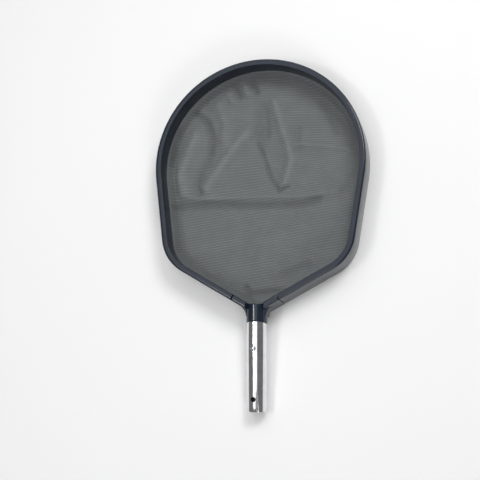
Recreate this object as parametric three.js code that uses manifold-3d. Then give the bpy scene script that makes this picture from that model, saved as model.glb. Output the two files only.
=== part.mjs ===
// Leaf skimmer net: a rigid two-part rim on a moulded yoke, a fine mesh bag, and an aluminium handle tube
// with a two-button snap clip for a telescopic pole.
// Millimetres, +Z up. The skimmer lies on its back, open face up, with its tip towards +Y.

import * as THREE from "three";
import { mergeVertices } from "three/addons/utils/BufferGeometryUtils.js";
import Module from "manifold-3d";

const wasm = await Module();
wasm.setup();

// ---- Rim outline, seen from above. The origin of the outline is the centre of its top arc.
const archRadius = 145; // inner edge of the rim, top arc
const sideLean = 8.2; // degrees that each side leans in towards the yoke
const cornerRadius = 52;
const bottomSlope = 29.5; // degrees of the two straight bottom edges
const bottomDistance = 180.3; // arc centre to each bottom edge
const hubDistance = 202.2; // arc centre to the short flat in front of the tube
const hubRadius = 12;
const seamX = 30.5; // where each rim end meets the yoke, on the inner edge
const arcStep = 3.75; // degrees between stations on the top arc
const cornerStep = 7;

// ---- Rim section: u runs outwards from the inner edge, z down from the open face.
const rimWidth = 8.5;
const rimDepth = 45;
const faceFlat = 5.9; // flat part of the open face, before its rounded outer edge
const wall = 2.2;
const plate = 2.6; // thickness of the open face
const bezelSkirt = 4; // where the bezel ends on the outside
const lapDepth = 9; // the bezel's lip inside the channel
const slotTop = 27; // the net leaves the rim between slotTop and slotBottom
const slotBottom = 28.9;
const chamberOuter = 6.1; // inner face of the outer wall
const gap = 0.3; // between pieces that touch

// ---- Net bag and its edge
const netThickness = 0.9;
const netClearance = 0.9; // the bag's underside above the floor
const netRun = 9.2; // how far the bag's side slopes in on its way down
const hemTop = 24.5;
const hemBottom = 31.5;
const hemTape = 0.7;
const cordRadius = 0.75;
const cordSides = 6;
const hemEase = 0.4; // between the hem and the chamber, and the cord and its fold

// ---- Handle tube, on an axis that leans back towards the floor
const tubeRadius = 14;
const tubeWall = 1.2;
const tubeTilt = 6; // degrees below the open face
const tubeTopY = -228.7; // where the axis leaves the collar
const tubeLength = 120.7;
const tubeSides = 48;
const rakeAngle = 15; // the collar's mouth is longer at the back
const buttonAt = 33.5; // along the tube from the collar
const spareHoleAt = 103.5;
const holeRadius = 3.6;
const buttonTurn = 8; // degrees that the buttons sit off the middle of the front, towards -X
const notchWidth = 1.6;
const notchDepth = 2.4;
const notchTurn = -18; // towards +X

// ---- Yoke
const collarRadius = 14.4;
const collarStartY = -199;
const spigotRadius = 12.5;
const spigotBore = 9;
const spigotLength = 24;
const spigotSides = 32;
const tongueLength = 28;
const tongueRoot = 8;
const gussetThickness = 4;
const gussetInset = 4; // how far the gusset stops before the collar's mouth
const filletReach = 10; // how far the webs run down the sides of the collar
const filletTop = 11; // below the open face, so that the collar's round flank stays in sight
const filletDepth = 20;
const windowHalf = 12.6; // half width of the face's opening in front of the collar
const windowDepth = 11;
const hubPlate = 14; // the yoke is solid down to here, so that the window's sides are closed
const tongueFit = 2.5; // between the tongues and the rim's lip, hem and back
const hemGroove = 0.6; // clearance of the hub's groove over the hem

// ---- Snap clip
const clipThickness = 0.7;
const clipWidth = 8;
const clipLift = 11.6; // centre of each leg off the tube's axis, at the buttons
const clipStart = 27.5;
const clipStraight = 40;
const clipBend = 74;
const clipBendRadius = 3;
const buttonRadius = 3.2;
const buttonProud = 3;
const buttonSides = 24;

// ---- Screws
const rimScrewRadius = 1.25;
const rimScrewHead = 2.5;
const rimScrewLength = 8;
const rimScrewsAlong = [8, 20]; // from the seam, along the rim
const tubeScrewRadius = 1.6;
const tubeScrewHead = 3.3;
const tubeScrewHeight = 2.1;
const tubeScrewReach = 7; // length of its shank
const tubeScrewsAlong = [8, 17]; // from the collar, along the tube
const screwSides = 12;
const screwHoleGap = 0.25;

const rad = THREE.MathUtils.degToRad;
const tilt = rad(tubeTilt);
const tubeEndLowZ = -rimDepth; // the tube's end rests on the floor with the rim
const tubeEndZ = tubeEndLowZ + tubeRadius * Math.cos(tilt);
const tubeTopZ = tubeEndZ + tubeLength * Math.sin(tilt);
const tubeEndY = tubeTopY - tubeLength * Math.cos(tilt);
const tipY = archRadius + rimWidth;
const tailY = tubeEndY - tubeRadius * Math.sin(tilt);
const centreY = (tipY + tailY) / 2;

// ---- Materials
const plastic = (color) => new THREE.MeshStandardMaterial({ color, roughness: 0.42, metalness: 0 });
const metal = (color, roughness) => new THREE.MeshStandardMaterial({ color, roughness, metalness: 1 });
const cloth = (color) => new THREE.MeshStandardMaterial({ color, roughness: 0.9, metalness: 0 });
const navyPlastic = plastic("#373f4e");
const navyShade = plastic("#2d333f");
const netMesh = cloth("#686c6d");
const tape = cloth("#4a4d50");
const cordWhite = cloth("#d8d6cf");
const aluminium = metal("#b4b8bd", 0.3);
const springSteel = metal("#9a9ca0", 0.35);
const nickel = metal("#c6cbd2", 0.2);
const screwSteel = metal("#8f9296", 0.35);

// ---- Solids: manifold-3d joins and cuts what three.js makes.
function solid(geometry) {
  const bare = geometry.clone();
  bare.deleteAttribute("normal");
  bare.deleteAttribute("uv");
  const merged = mergeVertices(bare, 1e-4);
  const vertProperties = new Float32Array(merged.attributes.position.array);
  const triVerts = new Uint32Array(merged.index.array);
  return new wasm.Manifold(new wasm.Mesh({ numProp: 3, vertProperties, triVerts }));
}

function geometryOf(made) {
  const mesh = made.getMesh();
  const geometry = new THREE.BufferGeometry();
  geometry.setAttribute("position", new THREE.BufferAttribute(mesh.vertProperties, 3));
  geometry.setIndex(new THREE.BufferAttribute(mesh.triVerts, 1));
  return geometry;
}

const join = (...solids) => solids.reduce((a, b) => a.add(b));
const cut = (from, ...tools) => tools.reduce((a, b) => a.subtract(b), from);

// ---- Outline: each straight edge is a normal angle and a distance from the arc centre.
const sideEdge = { angle: -sideLean, distance: archRadius };
const bottomEdge = { angle: bottomSlope - 90, distance: bottomDistance };
const hubEdge = { angle: -90, distance: hubDistance };

// Centre of the arc of radius r that touches both edges from inside.
function arcCentre(a, b, r) {
  const [ax, ay] = [Math.cos(rad(a.angle)), Math.sin(rad(a.angle))];
  const [bx, by] = [Math.cos(rad(b.angle)), Math.sin(rad(b.angle))];
  const det = ax * by - ay * bx;
  const x = ((a.distance - r) * by - (b.distance - r) * ay) / det;
  const y = ((b.distance - r) * ax - (a.distance - r) * bx) / det;
  return { x, y };
}

// Stations along an arc, from one normal angle to another, each with its outward normal.
function arcStations(centre, radius, from, to, step) {
  const count = Math.max(1, Math.round(Math.abs(to - from) / step));
  return Array.from({ length: count + 1 }, (_, i) => {
    const t = rad(from + ((to - from) * i) / count);
    const normal = new THREE.Vector2(Math.cos(t), Math.sin(t));
    const point = new THREE.Vector2(centre.x, centre.y).addScaledVector(normal, radius);
    return { point, normal };
  });
}

const mirrored = (stations) =>
  [...stations].reverse().map(({ point, normal }) => ({
    point: new THREE.Vector2(-point.x, point.y),
    normal: new THREE.Vector2(-normal.x, normal.y),
  }));

// A station on the right-hand bottom edge, at x on the inner edge.
function onBottomEdge(x) {
  const t = rad(bottomEdge.angle);
  const y = (bottomEdge.distance - x * Math.cos(t)) / Math.sin(t);
  return { point: new THREE.Vector2(x, y), normal: new THREE.Vector2(Math.cos(t), Math.sin(t)) };
}

const alongBottomEdge = (distance) => onBottomEdge(seamX + distance * Math.cos(rad(bottomSlope)));

const topArc = arcStations({ x: 0, y: 0 }, archRadius, 180 + sideLean, -sideLean, arcStep);
const cornerArc = arcStations(
  arcCentre(sideEdge, bottomEdge, cornerRadius),
  cornerRadius,
  sideEdge.angle,
  bottomEdge.angle,
  cornerStep,
);
const hubArc = arcStations(
  arcCentre(bottomEdge, hubEdge, hubRadius),
  hubRadius,
  bottomEdge.angle,
  hubEdge.angle,
  cornerStep,
);
// Clockwise from above: the rim from its left end to its right end, and the yoke back to the left.
const rimEnd = alongBottomEdge(gap / 2);
const yokeEnd = alongBottomEdge(-gap / 2);
const rimStations = [...mirrored([...cornerArc, rimEnd]), ...topArc, ...cornerArc, rimEnd];
const yokeStations = [yokeEnd, ...hubArc, ...mirrored([yokeEnd, ...hubArc])];
const loopStations = [
  ...mirrored(cornerArc),
  ...topArc,
  ...cornerArc,
  ...hubArc,
  ...mirrored(hubArc),
];

// Sweeps an outline of [u, depth] points along stations. A closed sweep joins its two ends.
function sweep(outline, stations, closed = false) {
  const corners = outline.map(([u, depth]) => new THREE.Vector2(u, depth));
  const section = THREE.ShapeUtils.area(corners) < 0 ? corners.reverse() : corners;
  const sides = section.length;
  const positions = [];
  const indices = [];
  for (const { point, normal } of stations)
    for (const { x: u, y: depth } of section)
      positions.push(point.x + normal.x * u, point.y + normal.y * u, -depth);
  const spans = closed ? stations.length : stations.length - 1;
  for (let i = 0; i < spans; i++) {
    const here = i * sides;
    const next = ((i + 1) % stations.length) * sides;
    for (let k = 0; k < sides; k++) {
      const l = (k + 1) % sides;
      indices.push(here + k, next + k, next + l, here + k, next + l, here + l);
    }
  }
  if (!closed) {
    const last = (stations.length - 1) * sides;
    for (const [a, b, c] of THREE.ShapeUtils.triangulateShape(section, []))
      indices.push(a, b, c, last + c, last + b, last + a);
  }
  const geometry = new THREE.BufferGeometry();
  geometry.setAttribute("position", new THREE.Float32BufferAttribute(positions, 3));
  geometry.setIndex(indices);
  return geometry;
}

// The area inside the outline, grown by u, as a prism between two depths.
function outlinePrism(u, top, bottom) {
  const points = loopStations.map(({ point, normal }) => point.clone().addScaledVector(normal, u));
  const geometry = new THREE.ExtrudeGeometry(new THREE.Shape(points), {
    depth: bottom - top,
    bevelEnabled: false,
  });
  return geometry.translate(0, 0, -bottom);
}

const box = (u0, u1, top, bottom) => [[u0, top], [u1, top], [u1, bottom], [u0, bottom]];

// ---- Tube frame: s along the tube from the collar, then turned about its axis by an angle.
function tubeMatrix(s, turn = 0) {
  const place = new THREE.Matrix4().makeTranslation(
    0,
    tubeTopY - s * Math.cos(tilt),
    tubeTopZ - s * Math.sin(tilt),
  );
  // local +Z is the tube's front, local -Y runs along the tube to its open end
  place.multiply(new THREE.Matrix4().makeRotationX(tilt));
  place.multiply(new THREE.Matrix4().makeRotationY(-rad(turn)));
  return place;
}

// A cylinder along the tube's axis from s = from to s = to.
function tubeCylinder(radius, from, to, sides = tubeSides) {
  const geometry = new THREE.CylinderGeometry(radius, radius, to - from, sides);
  return geometry.translate(0, -(from + to) / 2, 0).applyMatrix4(tubeMatrix(0));
}

// A pin across the tube, standing out along its turned front, from one height to another.
function crossPin(radius, s, turn, low, high, sides) {
  const geometry = new THREE.CylinderGeometry(radius, radius, high - low, sides);
  geometry.rotateX(Math.PI / 2).translate(0, 0, (low + high) / 2);
  return geometry.applyMatrix4(tubeMatrix(s, turn));
}

// Everything on the tube's side of the collar's raked mouth.
function beyondMouth(s) {
  const reach = 400;
  const geometry = new THREE.BoxGeometry(reach, reach, reach).translate(0, -reach / 2, 0);
  geometry.applyMatrix4(new THREE.Matrix4().makeRotationX(-rad(rakeAngle)));
  return geometry.applyMatrix4(tubeMatrix(s));
}

// ---- Rim
function roundedEdge() {
  const run = rimWidth - faceFlat;
  return [
    [faceFlat, 0],
    [faceFlat + run * 0.5, 0.45],
    [faceFlat + run * 0.86, 1.5],
    [rimWidth, 3],
  ];
}

function bezelSection() {
  const lip = chamberOuter - gap;
  return [
    [0, 0],
    ...roundedEdge(),
    [rimWidth, bezelSkirt],
    [lip, bezelSkirt],
    [lip, lapDepth],
    [lip - 1.4, lapDepth],
    [lip - 1.4, plate],
    [wall, plate],
    [wall, slotTop],
    [0, slotTop],
  ];
}

function channelSection() {
  const floor = rimDepth - plate;
  return [
    [chamberOuter, bezelSkirt + gap],
    [rimWidth, bezelSkirt + gap],
    [rimWidth, rimDepth],
    [0, rimDepth],
    [0, slotBottom],
    [wall, slotBottom],
    [wall, floor],
    [chamberOuter, floor],
  ];
}

function yokeSection() {
  const floor = rimDepth - plate;
  return [
    [0, 0],
    ...roundedEdge(),
    [rimWidth, rimDepth],
    [0, rimDepth],
    [0, slotBottom],
    [wall, slotBottom],
    [wall, floor],
    [chamberOuter, floor],
    [chamberOuter, hubPlate],
    [wall, hubPlate],
    [wall, slotTop],
    [0, slotTop],
  ];
}

// Middle of the chamber's floor at each rim screw, on the right; the left is its mirror image.
const rimScrewSpots = rimScrewsAlong.map((distance) => {
  const { point, normal } = alongBottomEdge(distance);
  return point.clone().addScaledVector(normal, (wall + chamberOuter) / 2);
});

// A countersunk self-tapping screw, driven up from the floor side, as a lathe profile.
function countersunk(radius, head, length, grow = 0) {
  const profile = [
    [0, 0],
    [head + grow, 0],
    [radius + grow, head - radius],
    [radius + grow, length + grow],
    [0, length + 2 * grow],
  ];
  const points = profile.map(([x, y]) => new THREE.Vector2(x, y));
  return new THREE.LatheGeometry(points, screwSides).rotateX(Math.PI / 2);
}

function rimScrew(spot, side, grow = 0) {
  const geometry = countersunk(rimScrewRadius, rimScrewHead, rimScrewLength, grow);
  return geometry.translate(side * spot.x, spot.y, -rimDepth + 0.2 - grow);
}

const rimScrewHoles = () =>
  [1, -1].flatMap((side) => rimScrewSpots.map((spot) => solid(rimScrew(spot, side, screwHoleGap))));

const rimFrontBezel = () => solid(sweep(bezelSection(), rimStations));
const rimRearChannel = () => cut(solid(sweep(channelSection(), rimStations)), ...rimScrewHoles());

// ---- Yoke: the rim's section carried round the hub, a collar and spigot for the tube,
// and two tongues at each end that slide into the rim.
const tongueBands = [
  [lapDepth + 1.5, hemTop - tongueFit],
  [hemBottom + tongueFit, rimDepth - plate - gap],
];

function tongue(side, [top, bottom]) {
  const root = [alongBottomEdge(-gap / 2), alongBottomEdge(-tongueRoot)];
  const reach = [alongBottomEdge(tongueLength), alongBottomEdge(-tongueRoot / 2)];
  const ends = side > 0 ? [root, reach] : [mirrored(root), mirrored(reach)];
  return join(
    solid(sweep(box(wall - 0.1, chamberOuter + 0.1, top, bottom), ends[0])),
    solid(sweep(box(wall + gap, chamberOuter - gap, top, bottom), ends[1])),
  );
}

// Web between an arm's outer wall and the side of the collar, its edge a hollow curve that leaves
// the arm and meets the collar along their own directions.
function collarFillet(side) {
  const { point, normal } = alongBottomEdge(-tongueRoot / 2);
  const arm = point.clone().addScaledVector(normal, rimWidth - 0.5);
  const flank = collarRadius - 0.1;
  const corner = arm.y - (arm.x - flank) * Math.tan(rad(bottomSlope));
  const shape = new THREE.Shape();
  shape.moveTo(0, arm.y);
  shape.lineTo(side * arm.x, arm.y);
  shape.quadraticCurveTo(side * flank, corner, side * flank, corner - filletReach);
  shape.lineTo(0, corner - filletReach);
  shape.closePath();
  const block = { depth: filletDepth, bevelEnabled: false, curveSegments: 8 };
  const geometry = new THREE.ExtrudeGeometry(shape, block);
  return solid(geometry.translate(0, 0, -filletDepth - filletTop));
}

// What is left out of the hub's face above the collar, so that its round front runs up to the net.
function faceWindow(collar) {
  const length = rimWidth + 4;
  const geometry = new THREE.BoxGeometry(2 * windowHalf, length, windowDepth + 1);
  geometry.translate(0, -hubDistance - rimWidth / 2, (1 - windowDepth) / 2);
  return cut(solid(geometry), collar);
}

function gusset() {
  const low = rimDepth - 1;
  const front = -hubDistance - rimWidth + 1;
  const end = tubeTopY + gussetInset;
  const shape = new THREE.Shape([
    new THREE.Vector2(front, -low),
    new THREE.Vector2(front, tubeTopZ),
    new THREE.Vector2(end, tubeTopZ),
    new THREE.Vector2(end, tubeTopZ - collarRadius - 0.5),
  ]);
  const geometry = new THREE.ExtrudeGeometry(shape, { depth: gussetThickness, bevelEnabled: false });
  const toYZ = new THREE.Matrix4().makeBasis(
    new THREE.Vector3(0, 1, 0),
    new THREE.Vector3(0, 0, 1),
    new THREE.Vector3(1, 0, 0),
  );
  return solid(geometry.applyMatrix4(toYZ).translate(-gussetThickness / 2, 0, 0));
}

function yoke() {
  const collarBack = (collarStartY - tubeTopY) / Math.cos(tilt);
  const collar = cut(solid(tubeCylinder(collarRadius, -collarBack, 8)), solid(beyondMouth(0)));
  const ring = cut(solid(sweep(yokeSection(), yokeStations)), faceWindow(collar));
  const spigot = solid(tubeCylinder(spigotRadius, -2, spigotLength, spigotSides));
  const body = join(ring, collar, spigot, collarFillet(1), collarFillet(-1), gusset());
  const groove = box(-1, chamberOuter, hemTop - hemGroove, hemBottom + hemGroove);
  const trimmed = cut(
    body,
    solid(outlinePrism(0, -5, rimDepth + 5)),
    solid(sweep(groove, loopStations, true)),
    solid(tubeCylinder(spigotBore, 6, spigotLength + 1, spigotSides)),
    solid(outlinePrism(200, -30, 0)),
    ...tubeScrewHoles(),
  );
  const tongues = [1, -1].flatMap((side) => tongueBands.map((band) => tongue(side, band)));
  return cut(join(trimmed, ...tongues), ...rimScrewHoles());
}

// ---- Net bag: a shallow tray of mesh that comes out of the rim's slot and lies just above the floor.
function netBag() {
  const top = slotTop + 0.5;
  const low = rimDepth - netClearance;
  const inner = -netRun - 0.8;
  const side = [
    [wall + 0.1, top],
    [-1, top],
    [-netRun, low - netThickness],
    [inner, low - netThickness],
    [inner, low],
    [-netRun + 0.5, low],
    [-0.4, top + netThickness],
    [wall + 0.1, top + netThickness],
  ];
  const base = outlinePrism(inner + 0.4, low - netThickness, low);
  return join(solid(sweep(side, loopStations, true)), solid(base));
}

// A folded tape along the bag's edge, open at the bottom, with a cord inside the fold.
function netHem() {
  const inner = wall + hemEase;
  const outer = chamberOuter - gap;
  const section = [
    [inner, hemBottom],
    [inner, hemTop],
    [outer, hemTop],
    [outer, hemBottom],
    [outer - hemTape, hemBottom],
    [outer - hemTape, hemTop + hemTape],
    [inner + hemTape, hemTop + hemTape],
    [inner + hemTape, hemBottom],
  ];
  return solid(sweep(section, loopStations, true));
}

function hemCord() {
  const middle = [(wall + hemEase + chamberOuter - gap) / 2, hemTop + hemTape + cordRadius + hemEase];
  const section = Array.from({ length: cordSides }, (_, i) => {
    const t = (2 * Math.PI * i) / cordSides;
    return [middle[0] + cordRadius * Math.cos(t), middle[1] + cordRadius * Math.sin(t)];
  });
  return solid(sweep(section, loopStations, true));
}

// ---- Handle tube
function tubeScrewHoles() {
  return tubeScrewsAlong.map((s) =>
    solid(crossPin(tubeScrewRadius + screwHoleGap, s, 180, spigotBore - 2, tubeRadius + 2, screwSides)),
  );
}

function handleTube() {
  const reach = tubeRadius + 2;
  const shell = cut(
    solid(tubeCylinder(tubeRadius, -8, tubeLength)),
    solid(tubeCylinder(tubeRadius - tubeWall, -9, tubeLength + 1)),
  );
  const buttonHoles = [buttonAt, spareHoleAt].map((s) =>
    solid(crossPin(holeRadius, s, buttonTurn, -reach, reach, buttonSides)),
  );
  const notch = new THREE.BoxGeometry(notchWidth, 2 * notchDepth, 4);
  notch.translate(0, 0, tubeRadius).applyMatrix4(tubeMatrix(tubeLength, notchTurn));
  const below = solid(beyondMouth(gap));
  return cut(shell.intersect(below), ...buttonHoles, ...tubeScrewHoles(), solid(notch));
}

// A pan-head screw through the back of the tube into the spigot.
function tubeScrew(s) {
  const seat = tubeRadius + gap;
  const low = seat - tubeScrewReach;
  const profile = [
    [0, low],
    [tubeScrewRadius, low + 1],
    [tubeScrewRadius, seat],
    [tubeScrewHead, seat],
    [tubeScrewHead * 0.9, seat + tubeScrewHeight * 0.6],
    [tubeScrewHead * 0.5, seat + tubeScrewHeight * 0.9],
    [0, seat + tubeScrewHeight],
  ];
  const points = profile.map(([x, y]) => new THREE.Vector2(x, y));
  const geometry = new THREE.LatheGeometry(points, screwSides).rotateX(Math.PI / 2);
  return solid(geometry.applyMatrix4(tubeMatrix(s, 180)));
}

// ---- Snap clip: a strip bent into a V, drawn in the plane of s and lift, then given its width.
function clipCentreLine() {
  const leg = [
    [clipStart, clipLift],
    [clipStraight, clipLift],
    [clipBend - 2, clipBendRadius],
  ];
  const bend = [60, 20, -20, -60].map((t) => [
    clipBend + clipBendRadius * Math.cos(rad(t)),
    clipBendRadius * Math.sin(rad(t)),
  ]);
  const back = [...leg].reverse().map(([s, lift]) => [s, -lift]);
  return [...leg, ...bend, ...back].map(([s, lift]) => new THREE.Vector2(s, lift));
}

function springClip() {
  const line = clipCentreLine();
  const offset = (amount) =>
    line.map((point, i) => {
      const before = line[Math.max(i - 1, 0)];
      const after = line[Math.min(i + 1, line.length - 1)];
      const along = after.clone().sub(before).normalize();
      return point.clone().add(new THREE.Vector2(-along.y, along.x).multiplyScalar(amount));
    });
  const outline = [...offset(clipThickness / 2), ...offset(-clipThickness / 2).reverse()];
  const geometry = new THREE.ExtrudeGeometry(new THREE.Shape(outline), {
    depth: clipWidth,
    bevelEnabled: false,
  });
  // the outline's s runs along local -Y, its lift along local +Z and its width along local X
  const place = new THREE.Matrix4().makeBasis(
    new THREE.Vector3(0, -1, 0),
    new THREE.Vector3(0, 0, 1),
    new THREE.Vector3(-1, 0, 0),
  );
  geometry.translate(0, 0, -clipWidth / 2).applyMatrix4(place).applyMatrix4(tubeMatrix(0, buttonTurn));
  const hole = crossPin(2, buttonAt, buttonTurn, -clipLift - 2, clipLift + 2, screwSides);
  return cut(solid(geometry), solid(hole));
}

// A domed button with a tenon through the strip and a riveted tail behind it.
function snapButton(turn) {
  const seat = clipLift + clipThickness / 2 + gap;
  const tail = clipLift - clipThickness / 2 - gap;
  const top = tubeRadius + buttonProud;
  const profile = [
    [0, tail - 0.7],
    [2.8, tail - 0.7],
    [2.8, tail],
    [1.7, tail],
    [1.7, seat],
    [buttonRadius, seat],
    [buttonRadius, top - 1.9],
    [buttonRadius * 0.9, top - 1.05],
    [buttonRadius * 0.65, top - 0.4],
    [buttonRadius * 0.3, top - 0.08],
    [0, top],
  ];
  const points = profile.map(([x, y]) => new THREE.Vector2(x, y));
  const geometry = new THREE.LatheGeometry(points, buttonSides).rotateX(Math.PI / 2);
  return solid(geometry.applyMatrix4(tubeMatrix(buttonAt, turn)));
}

// ---- Assembly
function piece(name, made, material) {
  const mesh = new THREE.Mesh(geometryOf(made), material);
  mesh.name = name;
  return mesh;
}

const skimmer = new THREE.Group();
skimmer.position.set(0, -centreY, rimDepth);
skimmer.add(
  piece("rim_front_bezel", rimFrontBezel(), navyPlastic),
  piece("rim_rear_channel", rimRearChannel(), navyShade),
  piece("yoke", yoke(), navyPlastic),
  piece("net_bag", netBag(), netMesh),
  piece("net_hem", netHem(), tape),
  piece("hem_cord", hemCord(), cordWhite),
  piece("handle_tube", handleTube(), aluminium),
  piece("spring_clip", springClip(), springSteel),
  piece("snap_button_front", snapButton(buttonTurn), nickel),
  piece("snap_button_rear", snapButton(180 + buttonTurn), nickel),
);
[["right", 1], ["left", -1]].forEach(([hand, side]) =>
  rimScrewSpots.forEach((spot, i) =>
    skimmer.add(piece(`rim_screw_${hand}_${i + 1}`, solid(rimScrew(spot, side)), screwSteel)),
  ),
);
tubeScrewsAlong.forEach((s, i) => skimmer.add(piece(`tube_screw_${i + 1}`, tubeScrew(s), screwSteel)));

export default skimmer;
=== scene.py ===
import math

import bmesh
import bpy
from mathutils import Matrix, Vector, noise


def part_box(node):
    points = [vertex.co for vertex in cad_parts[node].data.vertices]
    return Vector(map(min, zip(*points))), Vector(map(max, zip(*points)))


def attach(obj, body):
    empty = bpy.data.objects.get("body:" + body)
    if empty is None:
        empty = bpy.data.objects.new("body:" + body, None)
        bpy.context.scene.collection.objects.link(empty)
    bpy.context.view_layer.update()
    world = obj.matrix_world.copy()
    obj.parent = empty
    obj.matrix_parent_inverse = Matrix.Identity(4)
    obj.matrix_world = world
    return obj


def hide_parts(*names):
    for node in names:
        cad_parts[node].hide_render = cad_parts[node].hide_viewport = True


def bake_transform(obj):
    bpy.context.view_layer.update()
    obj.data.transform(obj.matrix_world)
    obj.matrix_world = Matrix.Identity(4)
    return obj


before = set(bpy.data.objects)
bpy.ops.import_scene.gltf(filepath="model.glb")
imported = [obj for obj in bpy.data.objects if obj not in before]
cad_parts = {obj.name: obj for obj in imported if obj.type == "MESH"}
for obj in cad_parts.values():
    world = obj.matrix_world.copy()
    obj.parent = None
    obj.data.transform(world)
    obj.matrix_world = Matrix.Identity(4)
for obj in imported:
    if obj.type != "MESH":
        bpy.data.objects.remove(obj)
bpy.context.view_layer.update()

# Leaf skimmer net: two-shell rim, moulded yoke, ribbed mesh bag, aluminium tube with a snap clip.
# Metres, the skimmer on its back with the open face up and the tip of the rim towards +Y.

mm = 0.001

# the camera: lens in millimetres, place in metres, turn in degrees
view = {"lens": 75, "place": (0.3321, -0.2687, 1.3792), "turn": (10.86, 14.594, 1.645)}


def makeCamera():
    data = bpy.data.cameras.new("camera")
    data.lens = view["lens"]
    camera = bpy.data.objects.new("camera", data)
    camera.location = view["place"]
    camera.rotation_euler = [math.radians(turn) for turn in view["turn"]]
    bpy.context.scene.collection.objects.link(camera)
    bpy.context.scene.camera = camera


makeCamera()
print("camera set")


# objects and meshes
def newObject(name, data):
    obj = bpy.data.objects.new(name, data)
    bpy.context.scene.collection.objects.link(obj)
    return obj


def meshObject(name, points, faces=()):
    data = bpy.data.meshes.new(name)
    data.from_pydata([tuple(p) for p in points], [], faces)
    data.update()
    return newObject(name, data)


def polyCurve(name, points, closed=False, radii=None):
    data = bpy.data.curves.new(name, "CURVE")
    data.dimensions = "3D"
    data.twist_mode = "Z_UP"
    spline = data.splines.new("POLY")
    spline.points.add(len(points) - 1)
    for i, p in enumerate(points):
        spline.points[i].co = (*p, 1)
        spline.points[i].radius = radii[i] if radii else 1
    spline.use_cyclic_u = closed
    return newObject(name, data)


def drop(*objects):
    for obj in objects:
        bpy.data.objects.remove(obj)


# a plain mesh of what the modifiers make, with the modifiers gone
def settled(obj):
    name = obj.name
    mesh = bpy.data.meshes.new_from_object(obj.evaluated_get(bpy.context.evaluated_depsgraph_get()))
    drop(obj)
    return newObject(name, mesh)


def closedUp(obj, reach=1e-6):
    made = bmesh.new()
    made.from_mesh(obj.data)
    bmesh.ops.remove_doubles(made, verts=made.verts, dist=reach)
    bmesh.ops.recalc_face_normals(made, faces=made.faces)
    if made.calc_volume(signed=True) < 0:
        bmesh.ops.reverse_faces(made, faces=made.faces)
    made.to_mesh(obj.data)
    made.free()
    return obj


def smoothShaded(obj, angle=32):
    obj.data.shade_smooth()
    obj.data.set_sharp_from_angle(angle=math.radians(angle))
    return obj


def painted(obj, material):
    obj.data.materials.clear()
    obj.data.materials.append(material)
    return obj


# Geometry Nodes: a tree with named inputs, and a modifier that fills them in by identifier
def newTree(name, inputs):
    tree = bpy.data.node_groups.new(name, "GeometryNodeTree")
    face = tree.interface
    face.new_socket("Geometry", in_out="INPUT", socket_type="NodeSocketGeometry")
    keys = {}
    for label, kind in inputs.items():
        socket = face.new_socket(label, in_out="INPUT", socket_type="NodeSocket" + kind)
        keys[label] = socket.identifier
    face.new_socket("Geometry", in_out="OUTPUT", socket_type="NodeSocketGeometry")
    source = tree.nodes.new("NodeGroupInput")
    result = tree.nodes.new("NodeGroupOutput")
    return {"tree": tree, "keys": keys, "in": source.outputs, "out": result}


# an input is a plain value, an output of another node, or a node that gives its first output
def addNode(tree, kind, inputs=None, **settings):
    made = tree.nodes.new(kind)
    for key, value in settings.items():
        setattr(made, key, value)
    for label, value in (inputs or {}).items():
        socket = made.inputs[label]
        if isinstance(value, bpy.types.Node):
            value = value.outputs[0]
        if isinstance(value, bpy.types.NodeSocket):
            tree.links.new(value, socket)
        else:
            socket.default_value = value
    return made


def finishTree(made, geometry):
    tree = made["tree"]
    real = addNode(tree, "GeometryNodeRealizeInstances", {"Geometry": geometry})
    coat = addNode(
        tree, "GeometryNodeSetMaterial",
        {"Geometry": real, "Material": made["in"]["Material"]},
    )
    tree.links.new(coat.outputs[0], made["out"].inputs[0])
    return made


def grown(obj, made, **values):
    modifier = obj.modifiers.new(made["tree"].name, "NODES")
    modifier.node_group = made["tree"]
    for label, value in values.items():
        modifier[made["keys"][label]] = value
    return settled(obj)


# the rim's outline, seen from above
outline = {
    "archRadius": 145 * mm,
    "rimWidth": 8.5 * mm,
    "sideLean": 8.2,
    "cornerRadius": 52 * mm,
    "bottomSlope": 29.5,
    "bottomDistance": 180.3 * mm,
    "hubDistance": 202.2 * mm,
    "hubRadius": 12 * mm,
    "seamX": 30.5 * mm,
    "seamGap": 1.7 * mm,
    "archStep": 1.25,
    "cornerStep": 2.25,
}
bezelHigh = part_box("rim_front_bezel")[1]
openFace = bezelHigh.z
archY = bezelHigh.y - outline["archRadius"] - outline["rimWidth"]
# each straight edge is the angle of its outward normal and its distance from the arch's centre
sideEdge = (-outline["sideLean"], outline["archRadius"])
bottomEdge = (outline["bottomSlope"] - 90, outline["bottomDistance"])
hubEdge = (-90, outline["hubDistance"])


def unit(angle):
    return Vector((math.cos(math.radians(angle)), math.sin(math.radians(angle))))


# centre of the arc that touches both edges from inside
def arcCentre(a, b, radius):
    na, nb = unit(a[0]), unit(b[0])
    det = na.x * nb.y - na.y * nb.x
    x = ((a[1] - radius) * nb.y - (b[1] - radius) * na.y) / det
    y = ((b[1] - radius) * na.x - (a[1] - radius) * nb.x) / det
    return Vector((x, y))


# a station is a point of the outline and the outward normal there
def arcStations(centre, radius, start, end, step):
    count = max(1, round(abs(end - start) / step))
    normals = [unit(start + (end - start) * i / count) for i in range(count + 1)]
    return [(centre + normal * radius, normal) for normal in normals]


def mirrored(stations):
    return [(Vector((-p.x, p.y)), Vector((-n.x, n.y))) for p, n in reversed(stations)]


def onBottomEdge(alongFromSeam):
    normal = unit(bottomEdge[0])
    x = outline["seamX"] + alongFromSeam * math.cos(math.radians(outline["bottomSlope"]))
    return Vector((x, (bottomEdge[1] - x * normal.x) / normal.y)), normal


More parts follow.
